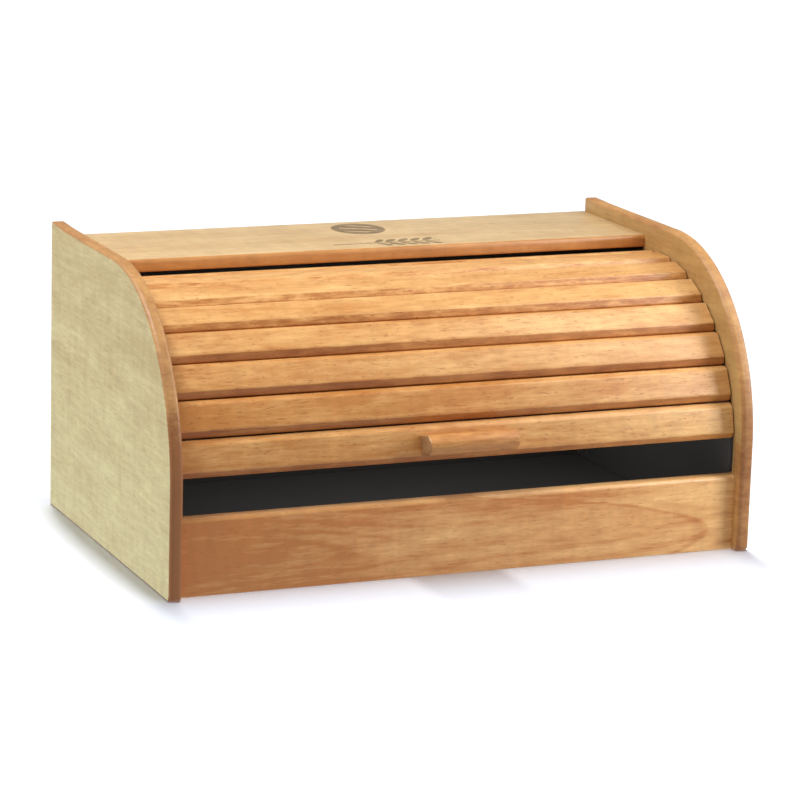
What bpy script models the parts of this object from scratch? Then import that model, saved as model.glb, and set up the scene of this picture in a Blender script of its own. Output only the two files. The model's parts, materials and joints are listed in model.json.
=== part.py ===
"""Wooden bread box with a roll top.

Two side panels hold a top board, a front rail, a bottom board and a back panel.
The roll top is a tambour: nine bevelled slats glued to a canvas sheet.  Tongues on
the slat ends run in a circular groove that is routed in each side panel, so the
whole tambour turns about the groove's centre line.

Units are metres, +Z is up, +X runs along the box and -Y is its front.  The origin is
under the middle of the box, on the surface that it stands on.
"""

import math

import bmesh
import bpy
from mathutils import Matrix, Vector

MM = 0.001

# ---- driving dimensions ---------------------------------------------------------------------
WIDTH = 390.0 * MM
DEPTH = 240.0 * MM
HEIGHT = 188.2 * MM
GAP = 0.3 * MM                      # left between pieces that touch

PANEL_THICKNESS = 8.1 * MM
PANEL_ARC_DEPTH = 113.0 * MM        # how far back the curved front edge reaches
PANEL_ARC_HEIGHT = 119.5 * MM       # how far down it reaches from the top

TRACK_CENTRE_DEPTH = 121.95 * MM    # from the panels' front edge
TRACK_CENTRE_HEIGHT = 58.95 * MM
SLAT_FACE_RADIUS = 112.1 * MM       # from the track's centre to the middle of a slat's face
SLAT_COUNT = 9
SLAT_PITCH = math.radians(12.55)
FIRST_SLAT_EDGE = math.radians(6.5)
SLAT_THICKNESS = 7.0 * MM
SLAT_WIDTH = 22.7 * MM
SLAT_BEVEL = 3.4 * MM
TONGUE_WIDTH = 17.0 * MM
TONGUE_INSET = 0.3 * MM             # of a tongue's inner side from the slat's inner side
TONGUE_THICKNESS = 3.2 * MM
TONGUE_LENGTH = 4.0 * MM            # how far a tongue enters its panel
GROOVE_DEPTH = 4.5 * MM
GROOVE_CLEARANCE = 0.45 * MM
GROOVE_START = math.radians(-5.4)
GROOVE_END = math.radians(206.5)

CANVAS_THICKNESS = 0.8 * MM
CANVAS_WIDTH = 340.0 * MM

RAIL_SETBACK = 8.0 * MM             # of the front rail behind the panels' front edge
RAIL_THICKNESS = 9.0 * MM
RAIL_HEIGHT = 48.3 * MM
RAIL_ROUNDING = 2.6 * MM

TOP_UNDERSIDE = 170.5 * MM
TOP_THICKNESS = 8.3 * MM
TOP_FRONT = 147.7 * MM              # of the top board's front edge behind the panels' front edge
TOP_ROUNDING = 3.0 * MM

BOTTOM_UNDERSIDE = 3.0 * MM
BOTTOM_THICKNESS = 4.5 * MM
BACK_THICKNESS = 4.5 * MM
HOUSING_DEPTH = 4.0 * MM            # of the grooves and rebates that hold the thin boards

HANDLE_LENGTH = 60.0 * MM
HANDLE_DEPTH = 16.5 * MM
HANDLE_TOP = 4.8 * MM               # above the middle of its slat
HANDLE_BOTTOM = -7.9 * MM
HANDLE_BEVEL = 4.6 * MM
HANDLE_SCREW_SPACING = 32.0 * MM

DOWEL_RADIUS = 2.5 * MM
DOWEL_LENGTH = 24.0 * MM
DOWEL_IN_PANEL = 4.6 * MM

SCREW_SHANK_RADIUS = 1.5 * MM
SCREW_HEAD_RADIUS = 3.0 * MM
SCREW_HEAD_HEIGHT = 2.0 * MM
SCREW_LENGTH = 16.0 * MM

NAIL_SHANK_RADIUS = 0.8 * MM
NAIL_HEAD_RADIUS = 1.8 * MM
NAIL_HEAD_HEIGHT = 0.7 * MM
NAIL_LENGTH = 12.0 * MM
NAIL_HEIGHTS = (20.0 * MM, 105.0 * MM, 150.0 * MM)

ARC_STEP = math.radians(3.0)
ROUND_SIDES = 20

# ---- colours: base colour, roughness, metallic ----------------------------------------------
PALE_WOOD = ("pale_wood", (0.60, 0.47, 0.27), 0.55, 0.0)
WARM_WOOD = ("warm_wood", (0.72, 0.43, 0.20), 0.45, 0.0)
DOWEL_WOOD = ("dowel_wood", (0.62, 0.45, 0.26), 0.70, 0.0)
PLYWOOD = ("plywood", (0.56, 0.40, 0.24), 0.65, 0.0)
CANVAS = ("canvas", (0.08, 0.075, 0.07), 0.90, 0.0)
STEEL = ("steel", (0.60, 0.60, 0.60), 0.35, 1.0)

# ---- places worked out from them --------------------------------------------------------------
INNER_X = WIDTH / 2 - PANEL_THICKNESS
HANDLE_ANGLE = FIRST_SLAT_EDGE + SLAT_PITCH / 2
HANDLE_FRONT_HEIGHT = HANDLE_BOTTOM + HANDLE_BEVEL      # lower edge of the handle's front face
HANDLE_REACH = (TRACK_CENTRE_DEPTH
                - (SLAT_FACE_RADIUS + HANDLE_DEPTH) * math.cos(HANDLE_ANGLE)
                + HANDLE_FRONT_HEIGHT * math.sin(HANDLE_ANGLE))
FRONT_Y = -(DEPTH + HANDLE_REACH) / 2                   # the panels' front edge
TRACK_CENTRE = Vector((0.0, FRONT_Y + TRACK_CENTRE_DEPTH, TRACK_CENTRE_HEIGHT))
SLAT_INNER_RADIUS = SLAT_FACE_RADIUS - SLAT_THICKNESS
BACK_Y = FRONT_Y + DEPTH
BACK_PANEL_FRONT = BACK_Y - GAP - BACK_THICKNESS

# A curve lies in its own XY plane: this turns it so that X becomes depth, Y height and Z width.
ACROSS_BOX = Matrix(((0, 0, 1, 0), (1, 0, 0, 0), (0, 1, 0, 0), (0, 0, 0, 1)))


def clear_scene():
    """Remove every object of the start-up scene."""
    for thing in list(bpy.data.objects):
        bpy.data.objects.remove(thing, do_unlink=True)


def new_collection(name):
    """Return a new collection that is linked to the scene."""
    group = bpy.data.collections.new(name)
    bpy.context.scene.collection.children.link(group)
    return group


def make_material(finish):
    """Return a Principled material with the finish's colour, roughness and metallic value."""
    name, colour, roughness, metallic = finish
    material = bpy.data.materials.new(name)
    material.use_nodes = True
    shader = material.node_tree.nodes["Principled BSDF"]
    shader.inputs["Base Color"].default_value = (*colour, 1.0)
    shader.inputs["Roughness"].default_value = roughness
    shader.inputs["Metallic"].default_value = metallic
    material.diffuse_color = (*colour, 1.0)
    return material


# ---- outlines: lists of (depth, height) points -------------------------------------------------
def arc(centre, radii, start, end, steps):
    """Points of an arc or ellipse; the angles count from +depth towards +height."""
    return [(centre[0] + radii[0] * math.cos(start + (end - start) * i / steps),
             centre[1] + radii[1] * math.sin(start + (end - start) * i / steps))
            for i in range(steps + 1)]


def track_point(angle, radius, offset=0.0):
    """Point at an angle round the track, from the front upwards; offset runs along the track."""
    depth = TRACK_CENTRE.y - radius * math.cos(angle) + offset * math.sin(angle)
    height = TRACK_CENTRE.z + radius * math.sin(angle) + offset * math.cos(angle)
    return (depth, height)


def panel_outline():
    """A side panel: straight foot and back, and a front edge that curves up into the top."""
    centre = (FRONT_Y + PANEL_ARC_DEPTH, HEIGHT - PANEL_ARC_HEIGHT)
    curve = arc(centre, (PANEL_ARC_DEPTH, PANEL_ARC_HEIGHT), math.pi, math.pi / 2, 30)
    return [(FRONT_Y, 0.0)] + curve + [(BACK_Y, HEIGHT), (BACK_Y, 0.0)]


def track_band(inner, outer, start, end):
    """A band of the track between two radii, with square ends."""
    steps = math.ceil((end - start) / ARC_STEP)
    angles = [start + (end - start) * i / steps for i in range(steps + 1)]
    return ([track_point(a, outer) for a in angles]
            + [track_point(a, inner) for a in reversed(angles)])


def canvas_outline():
    """The canvas, which lies flat along each slat and bends between them."""
    outer = SLAT_INNER_RADIUS - GAP
    joints = [FIRST_SLAT_EDGE + i * SLAT_PITCH for i in range(1, SLAT_COUNT)]
    first = FIRST_SLAT_EDGE + SLAT_PITCH / 2
    last = FIRST_SLAT_EDGE + (SLAT_COUNT - 0.5) * SLAT_PITCH
    half = SLAT_WIDTH / 2
    lines = []
    for radius in (outer, outer - CANVAS_THICKNESS):
        corner = radius / math.cos(SLAT_PITCH / 2)
        lines.append([track_point(first, radius, -half)]
                     + [track_point(a, corner) for a in joints]
                     + [track_point(last, radius, half)])
    return lines[0] + lines[1][::-1]


def slat_outline(angle):
    """A slat: both long edges of its outer face are bevelled."""
    half = SLAT_WIDTH / 2
    shoulder = SLAT_FACE_RADIUS - SLAT_BEVEL
    section = [(SLAT_INNER_RADIUS, -half), (shoulder, -half), (SLAT_FACE_RADIUS, SLAT_BEVEL - half),
               (SLAT_FACE_RADIUS, half - SLAT_BEVEL), (shoulder, half), (SLAT_INNER_RADIUS, half)]
    return [track_point(angle, radius, offset) for radius, offset in section]


def tongue_outline(angle):
    """The thinner tongue that a slat ends in."""
    inner = SLAT_INNER_RADIUS + TONGUE_INSET
    half = TONGUE_WIDTH / 2
    section = [(inner, -half), (inner + TONGUE_THICKNESS, -half),
               (inner + TONGUE_THICKNESS, half), (inner, half)]
    return [track_point(angle, radius, offset) for radius, offset in section]


def handle_outline():
    """The handle: a bar with both front edges bevelled."""
    inner = SLAT_FACE_RADIUS + GAP
    front = SLAT_FACE_RADIUS + HANDLE_DEPTH
    section = [(inner, HANDLE_BOTTOM), (front - HANDLE_BEVEL, HANDLE_BOTTOM),
               (front, HANDLE_BOTTOM + HANDLE_BEVEL), (front, HANDLE_TOP - HANDLE_BEVEL),
               (front - HANDLE_BEVEL, HANDLE_TOP), (inner, HANDLE_TOP)]
    return [track_point(HANDLE_ANGLE, radius, offset) for radius, offset in section]


def top_outline():
    """The top board, with a rounded front edge."""
    front = FRONT_Y + TOP_FRONT
    top = TOP_UNDERSIDE + TOP_THICKNESS
    small = TOP_ROUNDING / 2
    upper = arc((front + TOP_ROUNDING, top - TOP_ROUNDING), (TOP_ROUNDING, TOP_ROUNDING),
                math.pi, math.pi / 2, 6)
    lower = arc((front + small, TOP_UNDERSIDE + small), (small, small), 1.5 * math.pi, math.pi, 4)
    return lower + upper + [(BACK_Y, top), (BACK_Y, TOP_UNDERSIDE)]


def rail_outline():
    """The front rail, with a rounded top front edge and a groove for the bottom board."""
    front = FRONT_Y + RAIL_SETBACK
    back = front + RAIL_THICKNESS
    groove = back - HOUSING_DEPTH
    low = BOTTOM_UNDERSIDE - GAP
    high = BOTTOM_UNDERSIDE + BOTTOM_THICKNESS + GAP
    rounding = arc((front + RAIL_ROUNDING, RAIL_HEIGHT - RAIL_ROUNDING),
                   (RAIL_ROUNDING, RAIL_ROUNDING), math.pi, math.pi / 2, 6)
    return ([(front, 0.0)] + rounding
            + [(back, RAIL_HEIGHT), (back, high), (groove, high), (groove, low), (back, low),
               (back, 0.0)])


def rectangle(depth_low, depth_high, height_low, height_high):
    """A plain rectangle in depth and height."""
    return [(depth_low, height_low), (depth_low, height_high),
            (depth_high, height_high), (depth_high, height_low)]


# ---- solids --------------------------------------------------------------------------------------
class Workshop:
    """Makes pieces and cutters and puts each in its collection."""

    def __init__(self, pieces, cutters):
        self.pieces = pieces
        self.cutters = cutters
        self.materials = {}

    def material(self, finish):
        """Return the finish's material, made once."""
        if finish[0] not in self.materials:
            self.materials[finish[0]] = make_material(finish)
        return self.materials[finish[0]]

    def add(self, name, mesh, finish=None, origin=Vector((0, 0, 0))):
        """Add a mesh as a piece, or as a cutter if it has no finish."""
        mesh.transform(Matrix.Translation(-origin))
        thing = bpy.data.objects.new(name, mesh)
        thing.location = origin
        if finish is None:
            self.cutters.objects.link(thing)
            thing.hide_render = True
            thing.display_type = "WIRE"
        else:
            self.pieces.objects.link(thing)
            mesh.materials.clear()
            mesh.materials.append(self.material(finish))
        return thing

    def extrusion(self, name, outline, x_low, x_high, finish=None, origin=Vector((0, 0, 0))):
        """Extrude a depth and height outline across the box, from x_low to x_high."""
        curve = bpy.data.curves.new(name, "CURVE")
        curve.dimensions = "2D"
        curve.fill_mode = "BOTH"
        curve.extrude = (x_high - x_low) / 2
        spline = curve.splines.new("POLY")
        spline.points.add(len(outline) - 1)
        for point, (depth, height) in zip(spline.points, outline):
            point.co = (depth, height, 0.0, 1.0)
        spline.use_cyclic_u = True
        guide = bpy.data.objects.new(name + "_guide", curve)
        self.cutters.objects.link(guide)
        guide.matrix_world = Matrix.Translation(((x_low + x_high) / 2, 0, 0)) @ ACROSS_BOX
        bpy.context.view_layer.update()
        evaluated = guide.evaluated_get(bpy.context.evaluated_depsgraph_get())
        mesh = bpy.data.meshes.new_from_object(evaluated)
        mesh.transform(guide.matrix_world)
        bpy.data.objects.remove(guide, do_unlink=True)
        bpy.data.curves.remove(curve)
        weld(mesh)
        mesh.name = name
        return self.add(name, mesh, finish, origin)

    def rod(self, name, start, direction, length, radius, finish=None, bevel=0.0):
        """A round rod from a start point along a direction, its far end bevelled if asked."""
        shape = bmesh.new()
        body = length - bevel
        bmesh.ops.create_cone(shape, cap_ends=True, segments=ROUND_SIDES, radius1=radius,
                              radius2=radius, depth=body,
                              matrix=Matrix.Translation((0, 0, body / 2)))
        if bevel:
            extend_cap(shape, body, (radius - bevel) / radius, bevel)
        return self.add(name, self.turned(shape, name, start, direction), finish)

    def headed_pin(self, name, start, direction, length, shank, head, head_height, finish):
        """A nail or screw: the head's top is at the start point and the tip is pointed."""
        shape = bmesh.new()
        bmesh.ops.create_cone(shape, cap_ends=True, segments=ROUND_SIDES, radius1=head,
                              radius2=head, depth=head_height,
                              matrix=Matrix.Translation((0, 0, head_height / 2)))
        tip = shank * 1.5
        extend_cap(shape, head_height, shank / head, 0.0)
        extend_cap(shape, head_height, 1.0, length - head_height - tip)
        extend_cap(shape, length - tip, 0.2, tip)
        return self.add(name, self.turned(shape, name, start, direction), finish)

    def turned(self, shape, name, start, direction):
        """Write a bmesh that stands on +Z to a mesh that starts at a point along a direction."""
        turn = Vector(direction).to_track_quat("Z", "Y").to_matrix().to_4x4()
        shape.transform(Matrix.Translation(start) @ turn)
        bmesh.ops.recalc_face_normals(shape, faces=shape.faces)
        mesh = bpy.data.meshes.new(name)
        shape.to_mesh(mesh)
        shape.free()
        return mesh

    def combine(self, thing, tools, operation):
        """Cut the tools from a piece or join them to it, one after another."""
        for tool in tools:
            step = thing.modifiers.new(tool.name, "BOOLEAN")
            step.operation = operation
            step.solver = "EXACT"
            step.object = tool
            bpy.context.view_layer.update()
            evaluated = thing.evaluated_get(bpy.context.evaluated_depsgraph_get())
            result = bpy.data.meshes.new_from_object(evaluated)
            thing.modifiers.clear()
            weld(result)
            thing.data = result
            bpy.data.objects.remove(tool, do_unlink=True)
        return thing


def extend_cap(shape, level, scale, rise):
    """Extrude the round cap at a level: scale it about the axis and raise it."""
    caps = [f for f in shape.faces
            if len(f.verts) == ROUND_SIDES and all(abs(v.co.z - level) < 1e-7 for v in f.verts)]
    made = bmesh.ops.extrude_face_region(shape, geom=caps)
    for vert in (g for g in made["geom"] if isinstance(g, bmesh.types.BMVert)):
        vert.co.x *= scale
        vert.co.y *= scale
        vert.co.z += rise
    stale = [f for f in caps if f.is_valid]
    bmesh.ops.delete(shape, geom=stale, context="FACES")


def weld(mesh):
    """Merge coincident points and point every face outwards."""
    shape = bmesh.new()
    shape.from_mesh(mesh)
    bmesh.ops.remove_doubles(shape, verts=shape.verts, dist=1e-6)
    bmesh.ops.dissolve_degenerate(shape, edges=shape.edges, dist=1e-7)
    bmesh.ops.recalc_face_normals(shape, faces=shape.faces)
    shape.to_mesh(mesh)
    shape.free()


def shade(thing):
    """Shade the round faces smooth and keep real edges sharp."""
    thing.data.shade_smooth()
    thing.data.set_sharp_from_angle(angle=math.radians(30))


# ---- the box's own pieces ---------------------------------------------------------------------------
def dowel_places():
    """Depth and height of each dowel: two in the top board and two in the rail."""
    top_height = TOP_UNDERSIDE + TOP_THICKNESS / 2
    rail_depth = FRONT_Y + RAIL_SETBACK + RAIL_THICKNESS / 2
    return {
        "top": [(BACK_Y - 68 * MM, top_height), (BACK_Y - 20 * MM, top_height)],
        "rail": [(rail_depth, 16 * MM), (rail_depth, 36 * MM)],
    }


def dowel_bores(shop, board, side):
    """Cutters for the dowels of one board at one end; side is -1 on the left and +1 on the right."""
    reach = DOWEL_LENGTH + 2 * GAP
    start_x = side * (INNER_X + DOWEL_IN_PANEL + GAP)
    return [shop.rod(f"{board}_bore_{i}", (start_x, depth, height), (-side, 0, 0), reach,
                     DOWEL_RADIUS + GAP)
            for i, (depth, height) in enumerate(dowel_places()[board])]


def make_side_panel(shop, name, side):
    """A side panel with the track, the housings of the thin boards, and its bores."""
    outer_x = side * WIDTH / 2
    inner_x = side * INNER_X

    def slot(label, outline, depth):
        """A cutter that sinks into the panel's inner face."""
        ends = sorted((inner_x - side * 2 * MM, inner_x + side * depth))
        return shop.extrusion(label, outline, ends[0], ends[1])

    ends = sorted((outer_x, inner_x))
    panel = shop.extrusion(name, panel_outline(), ends[0], ends[1], PALE_WOOD)
    inner = SLAT_INNER_RADIUS + TONGUE_INSET - GROOVE_CLEARANCE
    outer = math.hypot(SLAT_INNER_RADIUS + TONGUE_INSET + TONGUE_THICKNESS, TONGUE_WIDTH / 2)
    outer += GROOVE_CLEARANCE
    bottom_top = BOTTOM_UNDERSIDE + BOTTOM_THICKNESS + GAP
    tools = [
        slot("track", track_band(inner, outer, GROOVE_START, GROOVE_END), GROOVE_DEPTH),
        slot("bottom_groove",
             rectangle(FRONT_Y + RAIL_SETBACK + RAIL_THICKNESS - HOUSING_DEPTH, BACK_Y + 5 * MM,
                       BOTTOM_UNDERSIDE - GAP, bottom_top), HOUSING_DEPTH),
        slot("back_rebate",
             rectangle(BACK_PANEL_FRONT - GAP, BACK_Y + 5 * MM, -5 * MM, TOP_UNDERSIDE),
             HOUSING_DEPTH),
    ]
    tools += dowel_bores(shop, "top", side) + dowel_bores(shop, "rail", side)
    for i, height in enumerate(NAIL_HEIGHTS):
        tools.append(shop.rod(f"nail_bore_{i}", nail_start(side, height), (0, -1, 0),
                              NAIL_LENGTH + GAP, NAIL_SHANK_RADIUS + GAP))
    return shop.combine(panel, tools, "DIFFERENCE")


def make_bored_board(shop, name, outline, board, finish):
    """A board between the panels, with its dowel bores."""
    reach = INNER_X - GAP
    piece = shop.extrusion(name, outline, -reach, reach, finish)
    tools = dowel_bores(shop, board, -1) + dowel_bores(shop, board, 1)
    return shop.combine(piece, tools, "DIFFERENCE")


def make_bottom_board(shop):
    """The thin bottom board, let into the side panels and the rail."""
    reach = INNER_X + HOUSING_DEPTH - GAP
    front = FRONT_Y + RAIL_SETBACK + RAIL_THICKNESS - HOUSING_DEPTH + GAP
    outline = rectangle(front, BACK_PANEL_FRONT - GAP, BOTTOM_UNDERSIDE,
                        BOTTOM_UNDERSIDE + BOTTOM_THICKNESS)
    return shop.extrusion("bottom_board", outline, -reach, reach, PLYWOOD)


def nail_start(side, height):
    """The middle of a nail's head, just under the back panel's rear face."""
    return Vector((side * (INNER_X + HOUSING_DEPTH / 2), BACK_Y - 2 * GAP, height))


def make_back_panel(shop):
    """The thin back panel, with a hole and a shallow sinking for each nail."""
    reach = INNER_X + HOUSING_DEPTH - GAP
    outline = rectangle(BACK_PANEL_FRONT, BACK_PANEL_FRONT + BACK_THICKNESS, BOTTOM_UNDERSIDE,
                        TOP_UNDERSIDE - GAP)
    panel = shop.extrusion("back_panel", outline, -reach, reach, PLYWOOD)
    tools = []
    for side in (-1, 1):
        for height in NAIL_HEIGHTS:
            place = nail_start(side, height) + Vector((0, 1 * MM, 0))
            label = f"nail_hole_{side}_{height / MM:.0f}"
            tools.append(shop.rod(label, place, (0, -1, 0), NAIL_LENGTH,
                                  NAIL_SHANK_RADIUS + GAP))
            tools.append(shop.rod(label + "_sinking", place, (0, -1, 0),
                                  1 * MM + NAIL_HEAD_HEIGHT + GAP, NAIL_HEAD_RADIUS + GAP))
    return shop.combine(panel, tools, "DIFFERENCE")


def make_dowels(shop):
    """The hidden dowels that join the top board and the rail to the side panels."""
    for board, places in dowel_places().items():
        for label, side in (("left", -1), ("right", 1)):
            for i, (depth, height) in enumerate(places, start=1):
                start = (side * (INNER_X + DOWEL_IN_PANEL), depth, height)
                name = f"{board}_dowel_{label}_{i}"
                shade(shop.rod(name, start, (-side, 0, 0), DOWEL_LENGTH, DOWEL_RADIUS,
                               DOWEL_WOOD, bevel=0.6 * MM))


def make_nails(shop):
    """The nails that hold the back panel in its rebates."""
    for label, side in (("left", -1), ("right", 1)):
        for i, height in enumerate(NAIL_HEIGHTS, start=1):
            shade(shop.headed_pin(f"back_nail_{label}_{i}", nail_start(side, height), (0, -1, 0),
                                  NAIL_LENGTH, NAIL_SHANK_RADIUS, NAIL_HEAD_RADIUS,
                                  NAIL_HEAD_HEIGHT, STEEL))


# ---- the roll top -----------------------------------------------------------------------------------
def screw_places():
    """X of each handle screw."""
    return (-HANDLE_SCREW_SPACING / 2, HANDLE_SCREW_SPACING / 2)


def handle_screw_height():
    """Offset of the screws along the track from the middle of the handle's slat."""
    return (HANDLE_TOP + HANDLE_BOTTOM) / 2


def radial_start(x, radius):
    """A point behind the handle at a radius, and the outward direction there."""
    depth, height = track_point(HANDLE_ANGLE, radius, handle_screw_height())
    outward = (0, -math.cos(HANDLE_ANGLE), math.sin(HANDLE_ANGLE))
    return Vector((x, depth, height)), outward


def screw_bores(shop, radius_from, radius_to, bore_radius):
    """Cutters along both handle screws, between two radii of the track."""
    tools = []
    for i, x in enumerate(screw_places()):
        start, outward = radial_start(x, radius_from)
        tools.append(shop.rod(f"screw_bore_{i}", start, outward, radius_to - radius_from,
                              bore_radius))
    return tools


def make_slat(shop, index):
    """One slat with a tongue at each end; the first one is bored for the handle's screws."""
    angle = FIRST_SLAT_EDGE + (index + 0.5) * SLAT_PITCH
    shoulder_x = INNER_X - 2 * GAP
    tongue_x = INNER_X + TONGUE_LENGTH
    name = f"slat_{index + 1:02d}"
    slat = shop.extrusion(name, slat_outline(angle), -shoulder_x, shoulder_x, WARM_WOOD,
                          TRACK_CENTRE)
    tongue = shop.extrusion(name + "_tongue", tongue_outline(angle), -tongue_x, tongue_x)
    shop.combine(slat, [tongue], "UNION")
    if index == 0:
        bores = screw_bores(shop, SLAT_INNER_RADIUS - 2 * MM, SLAT_FACE_RADIUS + 2 * MM,
                            SCREW_SHANK_RADIUS + GAP)
        shop.combine(slat, bores, "DIFFERENCE")
    return slat


def make_canvas(shop):
    """The canvas that the slats are glued to, with a hole round each screw head."""
    canvas = shop.extrusion("tambour_canvas", canvas_outline(), -CANVAS_WIDTH / 2,
                            CANVAS_WIDTH / 2, CANVAS, TRACK_CENTRE)
    holes = screw_bores(shop, SLAT_INNER_RADIUS - 4 * MM, SLAT_INNER_RADIUS + 1 * MM,
                        SCREW_HEAD_RADIUS + GAP)
    return shop.combine(canvas, holes, "DIFFERENCE")


def make_handle(shop):
    """The handle bar, bored for its screws."""
    handle = shop.extrusion("handle", handle_outline(), -HANDLE_LENGTH / 2, HANDLE_LENGTH / 2,
                            WARM_WOOD, TRACK_CENTRE)
    tip = SLAT_INNER_RADIUS + SCREW_LENGTH - SCREW_HEAD_HEIGHT + 2 * GAP
    bores = screw_bores(shop, SLAT_FACE_RADIUS - 2 * MM, tip, SCREW_SHANK_RADIUS + GAP)
    return shop.combine(handle, bores, "DIFFERENCE")


def make_handle_screws(shop):
    """The screws that hold the handle, driven from inside the box."""
    for label, x in zip(("left", "right"), screw_places()):
        start, outward = radial_start(x, SLAT_INNER_RADIUS - GAP - SCREW_HEAD_HEIGHT)
        shade(shop.headed_pin(f"handle_screw_{label}", start, outward, SCREW_LENGTH,
                              SCREW_SHANK_RADIUS, SCREW_HEAD_RADIUS, SCREW_HEAD_HEIGHT, STEEL))


def main():
    """Build the bread box."""
    clear_scene()
    shop = Workshop(new_collection("bread_box"), new_collection("cutters"))
    for name, side in (("side_panel_left", -1), ("side_panel_right", 1)):
        shade(make_side_panel(shop, name, side))
    shade(make_bored_board(shop, "top_board", top_outline(), "top", PALE_WOOD))
    shade(make_bored_board(shop, "front_rail", rail_outline(), "rail", WARM_WOOD))
    make_bottom_board(shop)
    make_back_panel(shop)
    make_dowels(shop)
    make_nails(shop)
    for index in range(SLAT_COUNT):
        make_slat(shop, index)
    make_canvas(shop)
    make_handle(shop)
    make_handle_screws(shop)


main()
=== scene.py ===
"""Finished look of a wooden bread box with a roll top.

The frame gives every place and size: each wooden piece is rebuilt as a fine surface on its
frame node, with rounded edges, and gets lacquered rubberwood whose fibres follow the piece.
Units are metres, +Z is up and -Y is the front of the box.
"""
import json
import logging
from dataclasses import dataclass, field
from enum import Enum
from functools import cached_property
from math import cos, pi, radians, sin, tau

import bpy
import numpy as np
from mathutils import Matrix, Vector


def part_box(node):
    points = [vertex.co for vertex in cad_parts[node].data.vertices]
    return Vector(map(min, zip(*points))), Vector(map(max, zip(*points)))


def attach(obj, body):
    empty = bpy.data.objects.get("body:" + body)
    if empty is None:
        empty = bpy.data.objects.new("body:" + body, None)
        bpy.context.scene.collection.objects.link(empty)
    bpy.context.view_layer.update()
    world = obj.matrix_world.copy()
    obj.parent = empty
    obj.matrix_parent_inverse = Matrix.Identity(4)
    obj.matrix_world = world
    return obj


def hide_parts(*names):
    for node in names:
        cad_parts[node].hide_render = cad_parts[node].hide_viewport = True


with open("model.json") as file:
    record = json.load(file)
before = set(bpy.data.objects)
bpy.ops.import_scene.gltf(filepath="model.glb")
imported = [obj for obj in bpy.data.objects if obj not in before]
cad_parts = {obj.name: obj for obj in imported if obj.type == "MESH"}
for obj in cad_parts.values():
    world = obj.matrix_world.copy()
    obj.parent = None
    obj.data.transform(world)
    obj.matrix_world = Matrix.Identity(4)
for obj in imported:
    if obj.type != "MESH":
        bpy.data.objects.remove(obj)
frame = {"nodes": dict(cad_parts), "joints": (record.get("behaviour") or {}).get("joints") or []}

log = logging.getLogger("bread_box")

MM = 0.001
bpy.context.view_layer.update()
BODY_BOX = "box"
BODY_ROLL = "roll_top"
FORWARD = Vector((0.0, -1.0, 0.0))
ACROSS = Vector((1.0, 0.0, 0.0))

Array = np.ndarray
Colour = tuple[float, float, float, float]
WHITE: Colour = (1.0, 1.0, 1.0, 1.0)


def display(red: int, green: int, blue: int) -> Colour:
    """Turn a colour as a screen shows it, 0 to 255, into the linear light a shader takes.

    Args:
        red: red part.
        green: green part.
        blue: blue part.

    Returns:
        Linear red, green, blue and a full alpha.
    """
    parts = np.array((red, green, blue)) / 255.0
    linear = np.where(parts <= 0.04045, parts / 12.92, ((parts + 0.055) / 1.055) ** 2.4)
    return (*linear.tolist(), 1.0)


# ---- shapes as arrays --------------------------------------------------------------------------
def rounded_polygon(corners: Array, radii: Array | tuple | float, steps: int) -> Array:
    """Round every corner of an outline that runs anticlockwise.

    The normal turns evenly from that of one side to that of the next, and each point lies one
    radius along it from the centre of the corner's arc.

    Args:
        corners: corner points, (n, 2).
        radii: one radius for each corner, or one for all.
        steps: steps in each corner's arc.

    Returns:
        Outline points, (n * (steps + 1), 2).
    """
    radii = np.broadcast_to(np.asarray(radii, float), len(corners))[:, None]
    after = np.roll(corners, -1, axis=0) - corners
    after /= np.linalg.norm(after, axis=1, keepdims=True)
    normal_after = np.stack((after[:, 1], -after[:, 0]), axis=1)
    normal_before = np.roll(normal_after, 1, axis=0)
    lean = 1.0 + np.sum(normal_after * normal_before, axis=1, keepdims=True)
    centres = corners - radii * (normal_after + normal_before) / lean
    start = np.arctan2(normal_before[:, 1], normal_before[:, 0])
    cross = normal_before[:, 0] * normal_after[:, 1] - normal_before[:, 1] * normal_after[:, 0]
    turn = np.arctan2(cross, lean[:, 0] - 1.0)
    angle = start[:, None] + turn[:, None] * np.linspace(0.0, 1.0, steps + 1)[None, :]
    arcs = np.stack((np.cos(angle), np.sin(angle)), axis=2) * radii[:, :, None]
    return (centres[:, None, :] + arcs).reshape(-1, 2)


def inward_normals(outline: Array) -> Array:
    """Unit normals that point into a closed anticlockwise outline.

    Args:
        outline: outline points, (n, 2).

    Returns:
        One normal for each point, square to the line between its neighbours.
    """
    along = np.roll(outline, -1, axis=0) - np.roll(outline, 1, axis=0)
    along /= np.linalg.norm(along, axis=1, keepdims=True)
    return np.stack((-along[:, 1], along[:, 0]), axis=1)


def shrink(outline: Array, amount: float) -> Array:
    """Draw a convex outline in towards its middle, each way by the same amount.

    Args:
        outline: outline points, (n, 2).
        amount: how far its box moves in on each side.

    Returns:
        The smaller outline.
    """
    low, high = outline.min(axis=0), outline.max(axis=0)
    middle, half = (low + high) / 2, (high - low) / 2
    return middle + (outline - middle) * (half - amount) / half


def edge_stations(radius: float, steps: int) -> Array:
    """Quarter circle from a flat face to a side, as (depth into the piece, inset) pairs.

    Args:
        radius: radius of the rounded edge.
        steps: steps in the quarter circle.

    Returns:
        (steps + 1, 2), from the face inwards.
    """
    angle = np.linspace(0.0, pi / 2, steps + 1)
    return radius * np.stack((1.0 - np.sin(angle), 1.0 - np.cos(angle)), axis=1)[::-1]


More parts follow.
